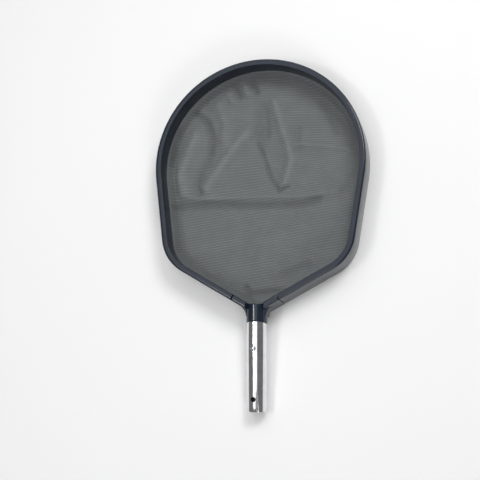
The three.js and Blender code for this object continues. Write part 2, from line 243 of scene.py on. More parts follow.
def outlineStations():
    lean, step = outline["sideLean"], outline["cornerStep"]
    archRadius, cornerRadius, hubRadius = (outline[key + "Radius"] for key in ("arch", "corner", "hub"))
    arch = arcStations(Vector((0, 0)), archRadius, -lean, 180 + lean, outline["archStep"])
    cornerMiddle = arcCentre(sideEdge, bottomEdge, cornerRadius)
    corner = arcStations(cornerMiddle, cornerRadius, bottomEdge[0], sideEdge[0], step)
    hubMiddle = arcCentre(bottomEdge, hubEdge, hubRadius)
    hub = arcStations(hubMiddle, hubRadius, hubEdge[0], bottomEdge[0], step)
    rimEnd = onBottomEdge(outline["seamGap"] / 2)
    # anticlockwise from above: the rim runs from its right seam over the tip to its left seam
    return {
        "rim": [rimEnd, *corner, *arch, *mirrored([rimEnd, *corner])],
        "loop": [*hub, *corner, *arch, *mirrored([*hub, *corner])],
    }


stations = outlineStations()


def placed(station, u, z):
    spot = station[0] + station[1] * u
    return Vector((spot.x, archY + spot.y, z))


# how far a value is from start to start + run, from 0 to 1, and the same with soft ends
def shareOf(value, start, run):
    return min(max((value - start) / run, 0), 1)


def eased(share):
    return share * share * (3 - 2 * share)


# a closed solid turned about its own Z from (radius, height) points in millimetres
def lathed(name, profile, sides, place=Matrix.Identity(4)):
    points, rings = [], []
    for radius, height in [(r * mm, h * mm) for r, h in profile]:
        if radius == 0:
            rings.append([len(points)] * sides)
            points.append(Vector((0, 0, height)))
            continue
        rings.append([len(points) + k for k in range(sides)])
        for k in range(sides):
            turn = 2 * math.pi * k / sides
            points.append(Vector((radius * math.cos(turn), radius * math.sin(turn), height)))
    looped = profile[0][0] > 0
    pairs = list(zip(rings, rings[1:] + rings[:1])) if looped else list(zip(rings, rings[1:]))
    faces = []
    for here, beyond in pairs:
        for k in range(sides):
            l = (k + 1) % sides
            corners = [here[k], here[l], beyond[l], beyond[k]]
            faces.append([c for i, c in enumerate(corners) if c not in corners[:i]])
    return closedUp(meshObject(name, [place @ p for p in points], faces))


def joined(name, objects):
    made = bmesh.new()
    for obj in objects:
        made.from_mesh(obj.data)
    mesh = bpy.data.meshes.new(name)
    made.to_mesh(mesh)
    made.free()
    drop(*objects)
    return newObject(name, mesh)


def cutBy(obj, cutter, selfCrossing=False):
    modifier = obj.modifiers.new("cut", "BOOLEAN")
    modifier.operation = "DIFFERENCE"
    modifier.solver = "EXACT"
    modifier.object = cutter
    modifier.use_self = selfCrossing
    made = settled(obj)
    drop(cutter)
    return made


# materials
def newMaterial(name, metallic=0.0, **fixed):
    material = bpy.data.materials.new(name)
    material.use_nodes = True
    tree = material.node_tree
    shader = tree.nodes["Principled BSDF"]
    shader.inputs["Metallic"].default_value = metallic
    for label, value in fixed.items():
        shader.inputs[label.replace("_", " ")].default_value = value
    return material, tree, shader


def objectSpace(tree, scale=(1, 1, 1), turn=(0, 0, 0)):
    spot = addNode(tree, "ShaderNodeTexCoord")
    angles = tuple(math.radians(t) for t in turn)
    return addNode(
        tree, "ShaderNodeMapping",
        {"Vector": spot.outputs["Object"], "Scale": scale, "Rotation": angles},
    ).outputs[0]


def grain(tree, vector, scale, detail=3.0, rough=0.5):
    return addNode(
        tree, "ShaderNodeTexNoise",
        {"Vector": vector, "Scale": scale, "Detail": detail, "Roughness": rough},
    ).outputs["Fac"]


def ranged(tree, value, low, high, start=0.3, end=0.7):
    return addNode(
        tree, "ShaderNodeMapRange",
        {"Value": value, "From Min": start, "From Max": end, "To Min": low, "To Max": high},
    ).outputs[0]


# either end is a colour or the output of another node
def shades(tree, amount, dark, light):
    ends = [end if isinstance(end, bpy.types.NodeSocket) else (*end, 1) for end in (dark, light)]
    return addNode(
        tree, "ShaderNodeMix", {"Factor": amount, 6: ends[0], 7: ends[1]}, data_type="RGBA"
    ).outputs[2]


def mathNode(tree, operation, a, b=0.0):
    return addNode(tree, "ShaderNodeMath", {0: a, 1: b}, operation=operation).outputs[0]


# a share of one pattern with the rest of another
def weighed(tree, one, other, share):
    first = mathNode(tree, "MULTIPLY", one, share)
    return mathNode(tree, "ADD", first, mathNode(tree, "MULTIPLY", other, 1 - share))


def surfaced(tree, shader, colour, rough, height, strength, distance):
    bump = addNode(
        tree, "ShaderNodeBump", {"Height": height, "Strength": strength, "Distance": distance}
    )
    ends = {"Base Color": colour, "Roughness": rough, "Normal": bump.outputs[0]}
    for label, value in ends.items():
        tree.links.new(value, shader.inputs[label])


# satin navy moulding: faint flow marks, fine spark-eroded texture, dull rubbed patches
plasticLook = {
    "dark": (0.009, 0.015, 0.028), "light": (0.013, 0.020, 0.036), "rubbed": (0.034, 0.044, 0.062),
    "gloss": (0.15, 0.21), "flowScale": 28, "texture": 2600, "textureDepth": 0.012 * mm, "bump": 0.25,
    "scuffScale": 240, "scuffStretch": (1, 1, 3), "scuffTurn": (0, 0, 35), "scuffMost": 0.6,
}


def rimPlastic():
    look = plasticLook
    material, tree, shader = newMaterial("rimPlastic", Specular_IOR_Level=0.42, IOR=1.5)
    space = objectSpace(tree)
    flow = grain(tree, space, look["flowScale"], 4.0, 0.55)
    speck = grain(tree, space, look["texture"], 2.0)
    base = shades(tree, ranged(tree, flow, 0, 1), look["dark"], look["light"])
    scuffSpace = objectSpace(tree, look["scuffStretch"], look["scuffTurn"])
    scuff = grain(tree, scuffSpace, look["scuffScale"], 5.0, 0.7)
    patches = ranged(tree, scuff, 0, look["scuffMost"], 0.62, 0.75)
    rub = mathNode(tree, "MULTIPLY", patches, ranged(tree, flow, 0, 1))
    colour, rough = shades(tree, rub, base, look["rubbed"]), ranged(tree, scuff, *look["gloss"])
    surfaced(tree, shader, colour, rough, speck, look["bump"], look["textureDepth"])
    return material


# bright drawn aluminium: die lines along the tube, a little haze, thin handling scratches
aluminiumLook = {
    "dark": (0.70, 0.70, 0.72), "light": (0.84, 0.84, 0.86), "gloss": (0.07, 0.15),
    "dieLines": 1500, "dieStretch": (1, 0.012, 1), "dieDepth": 0.012 * mm, "bump": 0.3,
    "hazeScale": 90, "scratchScale": 1100, "scratchStretch": (1, 0.03, 1), "scratchTurn": (0, 0, 24),
    "scratchGloss": 0.12,
}


def drawnAluminium():
    look = aluminiumLook
    material, tree, shader = newMaterial("drawnAluminium", metallic=1.0)
    lineSpace = objectSpace(tree, look["dieStretch"], (-tube["tilt"], 0, 0))
    lines = grain(tree, lineSpace, look["dieLines"], 3.0)
    haze = grain(tree, objectSpace(tree), look["hazeScale"], 4.0)
    scratchSpace = objectSpace(tree, look["scratchStretch"], look["scratchTurn"])
    scratch = grain(tree, scratchSpace, look["scratchScale"], 2.0)
    mix = weighed(tree, lines, haze, 0.6)
    colour = shades(tree, ranged(tree, mix, 0, 1, 0.35, 0.65), look["dark"], look["light"])
    scratched = ranged(tree, scratch, 0, look["scratchGloss"], 0.68, 0.74)
    rough = mathNode(tree, "ADD", ranged(tree, mix, *look["gloss"]), scratched)
    surfaced(tree, shader, colour, rough, lines, look["bump"], look["dieDepth"])
    return material


# dark and light colour, roughness, and the scale and stretch of the grain
metals = {
    # the bore's near-black colour is painted shade inside the tube
    "boreSkin": ((0.035, 0.035, 0.037), (0.07, 0.07, 0.073), (0.45, 0.6), 500, (1, 1, 1)),
    "nickelPlate": ((0.60, 0.63, 0.67), (0.74, 0.77, 0.80), (0.10, 0.22), 700, (1, 1, 1)),
    "springSteel": ((0.36, 0.37, 0.39), (0.52, 0.53, 0.55), (0.25, 0.42), 900, (1, 0.05, 1)),
    "screwSteel": ((0.42, 0.43, 0.45), (0.60, 0.61, 0.63), (0.22, 0.36), 1200, (1, 1, 1)),
}
metalSkin = {"blotchScale": 260, "bump": 0.2, "depth": 0.01 * mm}


def plainMetal(name):
    dark, light, gloss, scale, stretch = metals[name]
    material, tree, shader = newMaterial(name, metallic=1.0)
    brushed = grain(tree, objectSpace(tree, stretch), scale, 4.0)
    blotch = ranged(tree, grain(tree, objectSpace(tree), metalSkin["blotchScale"], 3.0), 0, 1)
    colour, rough = shades(tree, blotch, dark, light), ranged(tree, brushed, *gloss)
    surfaced(tree, shader, colour, rough, brushed, metalSkin["bump"], metalSkin["depth"])
    return material


# fine knitted mesh: open dark cells between paler yarns, in the cloth's own UV metres
meshLook = {
    "cell": 0.95 * mm, "dark": (0.085, 0.093, 0.094), "light": (0.165, 0.178, 0.180),
    "stain": (0.16, 0.155, 0.135), "stainMost": 0.5, "yarnDepth": 0.12 * mm, "bump": 0.6,
    # wear: how far the painted fold shade darkens and lightens the colour
    "wear": (0.72, 1.28), "unevenScale": 55, "fuzzScale": 900, "gloss": (0.72, 0.9), "sheen": 0.12,
}
clothSheen = 0.5


def clothWave(tree, vector, pitch, axis):
    part = addNode(tree, "ShaderNodeSeparateXYZ", {"Vector": vector}).outputs[axis]
    return mathNode(tree, "SINE", mathNode(tree, "MULTIPLY", part, 2 * math.pi / pitch))


def knittedMesh():
    look = meshLook
    material, tree, shader = newMaterial(
        "knittedMesh", Sheen_Weight=look["sheen"], Sheen_Roughness=clothSheen
    )
    cloth = addNode(tree, "ShaderNodeUVMap", uv_map="cloth").outputs[0]
    weft = clothWave(tree, cloth, look["cell"], "Y")
    warp = clothWave(tree, cloth, look["cell"], "X")
    yarn = ranged(tree, mathNode(tree, "MAXIMUM", weft, warp), 0, 1, -0.3, 1)
    uneven = grain(tree, objectSpace(tree), look["unevenScale"], 4.0)
    fuzz = grain(tree, objectSpace(tree), look["fuzzScale"], 3.0)
    tone = mathNode(tree, "MULTIPLY", yarn, ranged(tree, uneven, 0.75, 1.05))
    tone = mathNode(tree, "ADD", tone, ranged(tree, fuzz, -0.12, 0.12))
    base = shades(tree, tone, look["dark"], look["light"])
    soiled = mathNode(tree, "MULTIPLY", ranged(tree, uneven, 0, 0.35, 0.6, 0.8), look["stainMost"])
    # painted shade in the creases of the folds and painted highlight on their tops
    colour = paintedFoldShade(tree, shades(tree, soiled, base, look["stain"]))
    rough = ranged(tree, fuzz, *look["gloss"])
    surfaced(tree, shader, colour, rough, yarn, look["bump"], look["yarnDepth"])
    return material


# the painted fold shade, darker in the creases and lighter on the fold tops, as a brightness for the
# cloth's colour
def paintedFoldShade(tree, colour):
    wear = addNode(tree, "ShaderNodeAttribute", attribute_name="wear").outputs["Fac"]
    return addNode(
        tree, "ShaderNodeHueSaturation",
        {"Color": colour, "Value": ranged(tree, wear, *meshLook["wear"], -1, 1)},
    ).outputs[0]


# dark and light colour, and the scale and depth of the fibres
yarns = {
    "ribYarn": ((0.15, 0.163, 0.166), (0.22, 0.234, 0.236), 1500, 0.05 * mm),
    "tapeWeave": ((0.055, 0.060, 0.064), (0.090, 0.097, 0.102), 1300, 0.06 * mm),
    "thread": ((0.11, 0.12, 0.12), (0.17, 0.18, 0.18), 2200, 0.03 * mm),
    "cordYarn": ((0.56, 0.55, 0.50), (0.74, 0.73, 0.69), 1400, 0.05 * mm),
}
yarnSkin = {"toneScale": 70, "gloss": (0.65, 0.85), "bump": 0.5, "sheen": 0.1}


def yarnMaterial(name, foldShaded=False):
    dark, light, scale, depth = yarns[name]
    material, tree, shader = newMaterial(
        name, Sheen_Weight=yarnSkin["sheen"], Sheen_Roughness=clothSheen
    )
    fibre = grain(tree, objectSpace(tree), scale, 4.0, 0.6)
    tone = grain(tree, objectSpace(tree), yarnSkin["toneScale"], 3.0)
    mix = weighed(tree, fibre, tone, 0.55)
    colour = shades(tree, ranged(tree, mix, 0, 1, 0.35, 0.65), dark, light)
    # the ribs get the cloth's painted fold shade
    if foldShaded:
        colour = paintedFoldShade(tree, colour)
    rough = ranged(tree, fibre, *yarnSkin["gloss"])
    surfaced(tree, shader, colour, rough, fibre, yarnSkin["bump"], depth)
    return material


# the swept tree: a section, its corners rounded by their own radii, carried along a level path
def sweptTree():
    made = newTree(
        "sweptSection",
        {"Section": "Object", "Edge Scale": "Float", "Edge Steps": "Int", "Material": "Material"},
    )
    tree, given = made["tree"], made["in"]
    level = addNode(tree, "GeometryNodeSetCurveNormal", {"Curve": given["Geometry"]}, mode="Z_UP")
    section = addNode(tree, "GeometryNodeObjectInfo", {"Object": given["Section"]})
    cornerRadius = addNode(tree, "GeometryNodeInputRadius")
    edge = mathNode(tree, "MULTIPLY", cornerRadius, given["Edge Scale"])
    rounded = addNode(
        tree, "GeometryNodeFilletCurve",
        {"Curve": section.outputs["Geometry"], "Count": given["Edge Steps"], "Radius": edge},
        mode="POLY",
    )
    body = addNode(
        tree, "GeometryNodeCurveToMesh",
        {"Curve": level, "Profile Curve": rounded, "Fill Caps": True},
    )
    return finishTree(made, body)


sweptSection = sweptTree()


# corners are (outwards from the inner edge, down from the open face, edge radius) in millimetres
def sweptPiece(name, corners, path, material, steps, closed=False):
    points = [(u * mm, depth * mm, 0) for u, depth, _ in corners]
    section = polyCurve(name + "Section", points, True, [radius * mm for *_, radius in corners])
    line = polyCurve(name, [placed(station, 0, openFace) for station in path], closed)
    values = {"Section": section, "Edge Scale": 1.0, "Edge Steps": steps, "Material": material}
    made = grown(line, sweptSection, **values)
    drop(section)
    return smoothShaded(closedUp(made))


rim = {
    "edgeSteps": 5,
    "bezel": [
        (0, 0, 0.6), (8.5, 0, 2.8), (8.5, 4, 0.25), (5.8, 4, 0.15), (5.8, 9, 0.3), (4.4, 9, 0.3),
        (4.4, 2.6, 0.4), (2.2, 2.6, 0.5), (2.2, 27, 0.4), (0, 27, 0.5),
    ],
    "channel": [
        (6.1, 4.3, 0.2), (8.5, 4.3, 0.3), (8.5, 45, 1.3), (0, 45, 0.9), (0, 28.9, 0.5),
        (2.2, 28.9, 0.4), (2.2, 42.4, 0.6), (6.1, 42.4, 0.8),
    ],
    "screwsAlong": (8, 20),
    "screwMiddle": 4.15,
}
# millimetres; the hole is that much wider and deeper than its screw
screw = {
    "radius": 1.25, "head": 2.5, "length": 8, "sunk": 0.2, "sides": 40, "hole": 0.25,
    "sinkEdge": 0.25, "drillTip": 1, "headEdge": 0.3, "headBevel": (0.2, 0.15), "pitch": 0.9,
    "recess": (1.5, 1.1, 0.05),
}


def rimScrewSpots():
    spots = []
    for along in rim["screwsAlong"]:
        point, normal = onBottomEdge(along * mm)
        spot = point + normal * rim["screwMiddle"] * mm
        spots += [(side * spot.x, archY + spot.y) for side in (1, -1)]
    return spots


def countersunk(name, grow, place):
    head, radius, length = (screw[key] + grow for key in ("head", "radius", "length"))
    profile = [
        (0, -grow), (head, -grow), (head, screw["sinkEdge"]), (radius, head - radius), (radius, length),
        (0, length + screw["drillTip"]),
    ]
    return lathed(name, profile, screw["sides"], place)


plastic = rimPlastic()


def makeRim():
    path, steps = stations["rim"], rim["edgeSteps"]
    bezel = sweptPiece("rim_bezel_shell", rim["bezel"], path, plastic, steps)
    channel = sweptPiece("rim_channel_shell", rim["channel"], path, plastic, steps)
    holes = [
        countersunk("hole", screw["hole"], Matrix.Translation((x, y, screw["sunk"] * mm)))
        for x, y in rimScrewSpots()
    ]
    channel = painted(smoothShaded(cutBy(channel, joined("screwHoles", holes))), plastic)
    for piece, node in ((bezel, "rim_front_bezel"), (channel, "rim_rear_channel")):
        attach(piece, "frame")
        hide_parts(node)
    print("rim swept:", len(bezel.data.polygons), len(channel.data.polygons))


makeRim()


# the yoke keeps the frame's shape, its edges melted round like a moulding
yoke = {"voxel": 0.55 * mm, "melt": 0.5, "meltRounds": 9, "mostTriangles": 150000}


def makeYoke():
    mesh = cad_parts["yoke"].data.copy()
    piece = closedUp(newObject("yoke_moulding", mesh), 1e-5)
    remesh = piece.modifiers.new("remesh", "REMESH")
    remesh.mode = "VOXEL"
    remesh.voxel_size = yoke["voxel"]
    melt = piece.modifiers.new("melt", "SMOOTH")
    melt.factor = yoke["melt"]
    melt.iterations = yoke["meltRounds"]
    piece = settled(piece)
    fine = sum(len(p.vertices) - 2 for p in piece.data.polygons)
    if fine > yoke["mostTriangles"]:
        thin = piece.modifiers.new("thin", "DECIMATE")
        thin.ratio = yoke["mostTriangles"] / fine
        piece = settled(piece)
    painted(smoothShaded(piece, 60), plastic)
    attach(piece, "frame")
    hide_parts("yoke")
    print("yoke moulded:", fine)


makeYoke()


# the handle tube, leaning back to the floor; s runs from the collar to the open end
tube = {
    "radius": 14, "wall": 1.2, "tilt": 6, "length": 120.7, "lip": 0.35, "sides": 160, "rake": 15,
    "mouthGap": 0.3, "inCollar": 12, "buttonAt": 33.5, "spareHoleAt": 103.5, "holeRadius": 3.6,
    "buttonTurn": 8, "notch": (1.6, 2.4), "notchTurn": -18, "notchLift": (10, 18),
    "screwsAt": (8, 17), "screwHole": 1.85, "screwHoleFrom": 7, "cutPast": 3,
}
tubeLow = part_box("handle_tube")[0]
lean = math.radians(tube["tilt"])
endLift = tube["radius"] * mm
tubeEnd = Vector((0, tubeLow.y + endLift * math.sin(lean), tubeLow.z + endLift * math.cos(lean)))
tubeBack = Vector((0, math.cos(lean), math.sin(lean)))


# local +Z is the tube's front, turned about its axis; local -Y runs towards the open end
def onTube(s, turn=0):
    spot = tubeEnd + tubeBack * (tube["length"] - s) * mm
    angles = Matrix.Rotation(lean, 4, "X") @ Matrix.Rotation(-math.radians(turn), 4, "Y")
    return Matrix.Translation(spot) @ angles


# local Z of a lathed piece laid along the tube, pointing to the open end
alongTube = Matrix.Rotation(math.radians(90), 4, "X")


def crossPin(radius, s, turn, low, high, sides=64):
    return lathed("pin", [(0, low), (radius, low), (radius, high), (0, high)], sides, onTube(s, turn))


def block(name, low, high, place):
    xs, ys, zs = zip(low, high)
    corners = [(x, y, z) for x in xs for y in ys for z in zs]
    faces = [(0, 1, 3, 2), (4, 6, 7, 5), (0, 4, 5, 1), (2, 3, 7, 6), (0, 2, 6, 4), (1, 5, 7, 3)]
    points = [place @ Vector([c * mm for c in corner]) for corner in corners]
    return closedUp(meshObject(name, points, faces))


def makeTube():
    outer, inner = tube["radius"], tube["radius"] - tube["wall"]
    start, end, lip, far = -tube["inCollar"], tube["length"], tube["lip"], 60
    soft = lip * 0.3
    loop = [
        (outer, start), (outer, end - lip), (outer - soft, end - soft), (outer - lip, end),
        (inner + lip, end), (inner + soft, end - soft), (inner, end - lip), (inner, start),
    ]
    piece = lathed("handle_tube_shell", loop, tube["sides"], onTube(0) @ alongTube)
    reach = outer + tube["cutPast"]
    width, depth = tube["notch"]
    low, high = tube["notchLift"]
    notchPlace = onTube(end, tube["notchTurn"])
    rake = onTube(tube["mouthGap"]) @ Matrix.Rotation(-math.radians(tube["rake"]), 4, "X")
    cutters = [block("mouth", (-far, 0, -far), (far, far + 20, far), rake)]
    for s in (tube["buttonAt"], tube["spareHoleAt"]):
        cutters.append(crossPin(tube["holeRadius"], s, tube["buttonTurn"], -reach, reach))
    cutters.append(block("notch", (-width / 2, -depth, low), (width / 2, depth, high), notchPlace))
    for s in tube["screwsAt"]:
        cutters.append(crossPin(tube["screwHole"], s, 180, tube["screwHoleFrom"], reach, 32))
    piece = cutBy(piece, joined("tubeCutters", cutters))
    painted(smoothShaded(piece, 24), drawnAluminium())
    # the bore gets a duller skin, coloured near-black as painted shade inside the tube
    piece.data.materials.append(plainMetal("boreSkin"))
    axis = onTube(0).inverted()
    for face in piece.data.polygons:
        spot = axis @ face.center
        if math.hypot(spot.x, spot.z) < (inner + lip / 2) * mm and -spot.y < (end - lip) * mm:
            face.material_index = 1
    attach(piece, "frame")
    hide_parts("handle_tube")
    print("tube cut:", len(piece.data.polygons))


makeTube()


# snap clip: a strip bent into a V inside the tube, each leg sprung out behind its button
clip = {
    "thickness": 0.7, "width": 8, "lift": 11.6, "start": 27.5, "straight": 40, "bend": 74,
    "bendRadius": 3, "bendTurn": 70, "bendSteps": 7, "kneeReach": 5, "kneeSteps": 8, "endRadius": 3.4,
    "step": 1.2, "across": 10, "tenonHole": 1.9, "holeReach": 2, "edge": 0.12, "stillNose": 4,
}
# the rivet behind the clip is (radius, distance below the clip)
button = {
    "radius": 3.2, "proud": 3, "tenon": 1.7, "sides": 64, "gap": 0.3, "edge": 0.25, "dome": 1.9,
    "rivet": [(0, 0.9), (1.6, 0.85), (2.4, 0.6), (2.8, 0.15), (2.7, 0)],
}


# one leg from the V's nose to its free end, as (s, lift) points with a rounded knee
def legLine(side):
    nose, radius, reach = clip["bend"], clip["bendRadius"], clip["kneeReach"]
    knee = Vector((clip["straight"], clip["lift"]))
    tip = Vector((clip["start"], clip["lift"]))
    points = []
    for i in range(clip["bendSteps"] + 1):
        turn = math.radians(clip["bendTurn"]) * i / clip["bendSteps"]
        points.append(Vector((nose + radius * math.cos(turn), radius * math.sin(turn))))
    tangent = points[-1]
    down = (knee - tangent).normalized()
    start, end = knee - down * reach, knee + Vector((-reach, 0))
    straight = max(2, round((start - tangent).length / clip["step"]))
    points += [tangent.lerp(start, i / straight) for i in range(1, straight)]
    for i in range(clip["kneeSteps"] + 1):
        t = i / clip["kneeSteps"]
        points.append(start * (1 - t) ** 2 + knee * 2 * t * (1 - t) + end * t * t)
    last = max(2, round((end - tip).length / (clip["step"] / 2)))
    points += [end.lerp(tip, i / last) for i in range(1, last + 1)]
    return [Vector((p.x, side * p.y)) for p in points]


def halfWidth(s):
    full, corner = clip["width"] / 2, clip["endRadius"]
    past = clip["start"] + corner - s
    if past <= 0:
        return full
    return full - corner + math.sqrt(max(corner ** 2 - past ** 2, 0.01))


def makeLeg(name, side):
    line = legLine(side)
    place, half = onTube(0, tube["buttonTurn"]), clip["thickness"] / 2
    columns = clip["across"]
    points, faces = [], []
    for i, spot in enumerate(line):
        along = (line[min(i + 1, len(line) - 1)] - line[max(i - 1, 0)]).normalized()
        outward = Vector((along.y, -along.x)) * side * half
        for face in (outward, -outward):
            for k in range(columns + 1):
                across = (2 * k / columns - 1) * halfWidth(spot.x)
                points.append(place @ (Vector((across, -(spot.x + face.x), spot.y + face.y)) * mm))
    ring = 2 * (columns + 1)
    order = list(range(columns + 1)) + list(range(ring - 1, columns, -1))
    for i in range(len(line) - 1):
        for k in range(ring):
            a, b = order[k], order[(k + 1) % ring]
            faces.append((i * ring + a, i * ring + b, (i + 1) * ring + b, (i + 1) * ring + a))
    faces += [tuple(order), tuple((len(line) - 1) * ring + k for k in reversed(order))]
    piece = closedUp(meshObject(name, points, faces))
    lift, reach = clip["lift"], clip["holeReach"]
    low, high = sorted((side * (lift - reach), side * (lift + reach)))
    hole = crossPin(clip["tenonHole"], tube["buttonAt"], tube["buttonTurn"], low, high, 32)
    piece = cutBy(piece, hole)
    edge = piece.modifiers.new("edge", "BEVEL")
    edge.width, edge.segments = clip["edge"] * mm, 2
    edge.limit_method, edge.angle_limit = "ANGLE", math.radians(50)
    piece = painted(smoothShaded(settled(piece), 40), springSteel)
    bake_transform(piece)
    return piece


# profile points up a dome, at angles from its foot
def domed(radius, foot, rise, angles):
    turns = [math.radians(angle) for angle in angles]
    return [(radius * math.cos(turn), foot + rise * math.sin(turn)) for turn in turns]


def makeButton(name, turn, body, node):
    seat = clip["lift"] + clip["thickness"] / 2 + button["gap"]
    tail = clip["lift"] - clip["thickness"] / 2 - button["gap"]
    top, radius, edge = tube["radius"] + button["proud"], button["radius"], button["edge"]
    profile = [(r, tail - below) for r, below in button["rivet"]]
    profile += [(button["tenon"], tail), (button["tenon"], seat), (radius - edge, seat)]
    profile += [(radius, seat + edge), (radius, top - button["dome"])]
    profile += domed(radius, top - button["dome"], button["dome"], range(9, 90, 9)) + [(0, top)]
    piece = lathed(name, profile, button["sides"], onTube(tube["buttonAt"], turn))
    painted(smoothShaded(piece, 38), nickel)
    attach(piece, body)
    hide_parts(node)


nickel, springSteel, screwSteel = map(plainMetal, ("nickelPlate", "springSteel", "screwSteel"))

makeButton("snap_button_front_dome", tube["buttonTurn"], "button_front", "snap_button_front")
makeButton("snap_button_rear_dome", 180 + tube["buttonTurn"], "button_rear", "snap_button_rear")
frontLeg = makeLeg("spring_clip_front_leg", 1)
rearLeg = makeLeg("spring_clip_rear_leg", -1)
for leg in (frontLeg, rearLeg):
    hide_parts("spring_clip")
print("snap clip and buttons made")


# screws: one is turned and given its cross recess, and a tree puts a copy at each spot
def screwTree():
    made = newTree("screwsInPlace", {
        "Screw": "Object", "Turn": "Rotation", "Spread": "Float", "Seed": "Int", "Material": "Material",
    })
    tree, given = made["tree"], made["in"]
    one = addNode(tree, "GeometryNodeObjectInfo", {"Object": given["Screw"], "As Instance": True})
    spin = addNode(
        tree, "FunctionNodeRandomValue",
        {2: mathNode(tree, "MULTIPLY", given["Spread"], -1.0), 3: given["Spread"],
         "Seed": given["Seed"]},
        data_type="FLOAT",
    )
    about = addNode(
        tree, "FunctionNodeAxisAngleToRotation", {"Axis": (0, 0, 1), "Angle": spin.outputs[1]}
    )
    turned = addNode(
        tree, "FunctionNodeRotateRotation",
        {"Rotation": given["Turn"], "Rotate By": about}, rotation_space="LOCAL",
    )
    copies = addNode(
        tree, "GeometryNodeInstanceOnPoints",
        {"Points": given["Geometry"], "Instance": one.outputs["Geometry"],
         "Rotation": turned},
    )
    return finishTree(made, copies)


screwsInPlace = screwTree()
recessHalfWidth = 0.42


def crossRecess(size, depth, top):
    bars, half = [], recessHalfWidth
    for turn in (0, 90):
        place = Matrix.Rotation(math.radians(turn), 4, "Z")
        bars.append(block("bar", (-size, -half, top - depth), (size, half, top + 1), place))
    return joined("recess", bars)


def turnedScrew(name, profile, recess):
    made = cutBy(lathed(name, profile, screw["sides"]), recess, selfCrossing=True)
    return smoothShaded(made, 30)


# a screw's thread as rings down the shank
def threaded(radius, start, end):
    rings, pitch = [], screw["pitch"]
    count = int((end - start) / pitch)
    for i in range(count):
        h = start + i * pitch
        rings += [(radius * 0.8, h), (radius, h + pitch * 0.4), (radius * 0.8, h + pitch * 0.8)]
    return rings


def makeScrews(name, one, spots, turn, nodes, seed):
    spread = math.radians(180)
    values = {"Screw": one, "Turn": turn, "Spread": spread, "Seed": seed, "Material": screwSteel}
    piece = grown(meshObject(name, spots), screwsInPlace, **values)
    drop(one)
    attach(piece, "frame")
    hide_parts(*nodes)


def makeRimScrews():
    head, radius, edge, length = (screw[key] for key in ("head", "radius", "headEdge", "length"))
    inwards, down = screw["headBevel"]
    profile = [(0, 0), (head - inwards, 0), (head, down), (head, edge), (radius, head - radius)]
    profile += threaded(radius, head - radius + edge, length - screw["drillTip"]) + [(0, length)]
    one = turnedScrew("rimScrew", profile, crossRecess(*screw["recess"]))
    spots = [(x, y, screw["sunk"] * mm) for x, y in rimScrewSpots()]
    nodes = [f"rim_screw_{hand}_{i}" for hand in ("right", "left") for i in (1, 2)]
    makeScrews("rim_screws", one, spots, (0, 0, 0), nodes, 3)


# pan-head screws; heights are from the underside of the head
tubeScrew = {
    "radius": 1.6, "head": 3.3, "headEdge": 0.5, "headHigh": 2.1, "length": 7.04, "threadTo": 0.6,
    "tipShare": 0.7, "tipHigh": 0.8, "recess": (1.7, 1.2), "seat": 0.3,
}


def makeTubeScrews():
    radius, head, edge, top = (tubeScrew[key] for key in ("radius", "head", "headEdge", "headHigh"))
    low, seat = -tubeScrew["length"], tube["radius"] + tubeScrew["seat"]
    profile = [(0, low), (radius * tubeScrew["tipShare"], low + tubeScrew["tipHigh"])]
    profile += threaded(radius, low + 1, -tubeScrew["threadTo"])
    profile += [(radius, 0), (head, 0), (head, edge)]
    profile += domed(head, edge, top - edge, range(12, 84, 12)) + [(0, top)]
    one = turnedScrew("tubeScrew", profile, crossRecess(*tubeScrew["recess"], top))
    spots = [onTube(s, 180) @ Vector((0, 0, seat * mm)) for s in tube["screwsAt"]]
    turn = onTube(0, 180).to_euler()
    makeScrews("tube_screws", one, spots, tuple(turn), ["tube_screw_1", "tube_screw_2"], 8)


makeRimScrews()
makeTubeScrews()
print("screws placed")


# the mesh bag: out of the rim's slot, down a short side and across just above the floor
net = {
    "thickness": 0.5, "slot": 17.05, "tuckedIn": 4.4, "sideStart": 0.3, "sideRun": 9.4, "ringedIn": 11,
    "rest": 4.2, "lowest": 0.9, "sideRings": 14, "ringStep": 2.3, "alongShare": 1.4, "middle": (0, -30),
    "middleInside": 100, "foldsFrom": 2, "foldsRun": 12.4, "waves": ((42, 1.3), (17, 0.5)), "seed": 11.7,
    # soft folds and creases: half width, rise, tone of the painted shade, and the spots they run through
    "folds": [
        (11, 7, 0.7, (-105, 53), (-114, 31), (-127, -8), (-120, -30)),
        (4.5, -4, -1, (-104, 88), (-88, 74), (-80, 52), (-82, 26)),
        (6, -3, -0.6, (-86, 16), (-95, 1), (-102, -21), (-97, -34)),
        (10, 7, 0.8, (-25, 55), (-44, 34), (-65, 5), (-86, -28)),
        (8, 4, 0.5, (-71, 101), (-60, 70), (-62, 42)),
        (7, -3, -0.4, (-6, 95), (-11, 70), (-5, 40)),
        (8, 6, 0.7, (14, 100), (23, 71), (34, 38), (41, 11), (32, -24)),
        (5, -2.5, -0.5, (1, 86), (4, 48)),
        (2.8, -2.8, -0.7, (-9, 38), (1, 13), (10, -14), (23, -35), (37, -29)),
        (5, -2.5, -0.4, (48, 57), (50, 28)),
        (2.8, 2.2, 0.45, (47, 35), (84, 31), (125, 23)),
        (5, -3.6, -0.9, (-133, -54), (-85, -52), (-31, -54), (23, -55), (59, -54), (82, -48)),
        (2.8, 2, 0.4, (-121, -39), (-85, -43), (-36, -43), (7, -42), (54, -44), (106, -37)),
        (5, -3.6, -0.8, (-22, -176), (-16, -184), (10, -182), (32, -182)),
        (7, -2.5, -0.4, (33, -158), (66, -145)),
        (4, -3.6, -0.9, (-45, 124), (-40, 112)),
        (4, -3.6, -0.9, (-19, 130), (-13, 117)),
        (5, 4, 0.4, (-33, 130), (-27, 115)),
        (5, 3.5, 0.4, (-58, 118), (-52, 104)),
        (4, -2.2, -0.3, (82, 96), (97, 73), (106, 48)),
        (6, -2, -0.3, (126, -18), (111, -46)),
        (4, -3.4, -0.8, (-141, 8), (-136, 46), (-128, 68)),
    ],
}
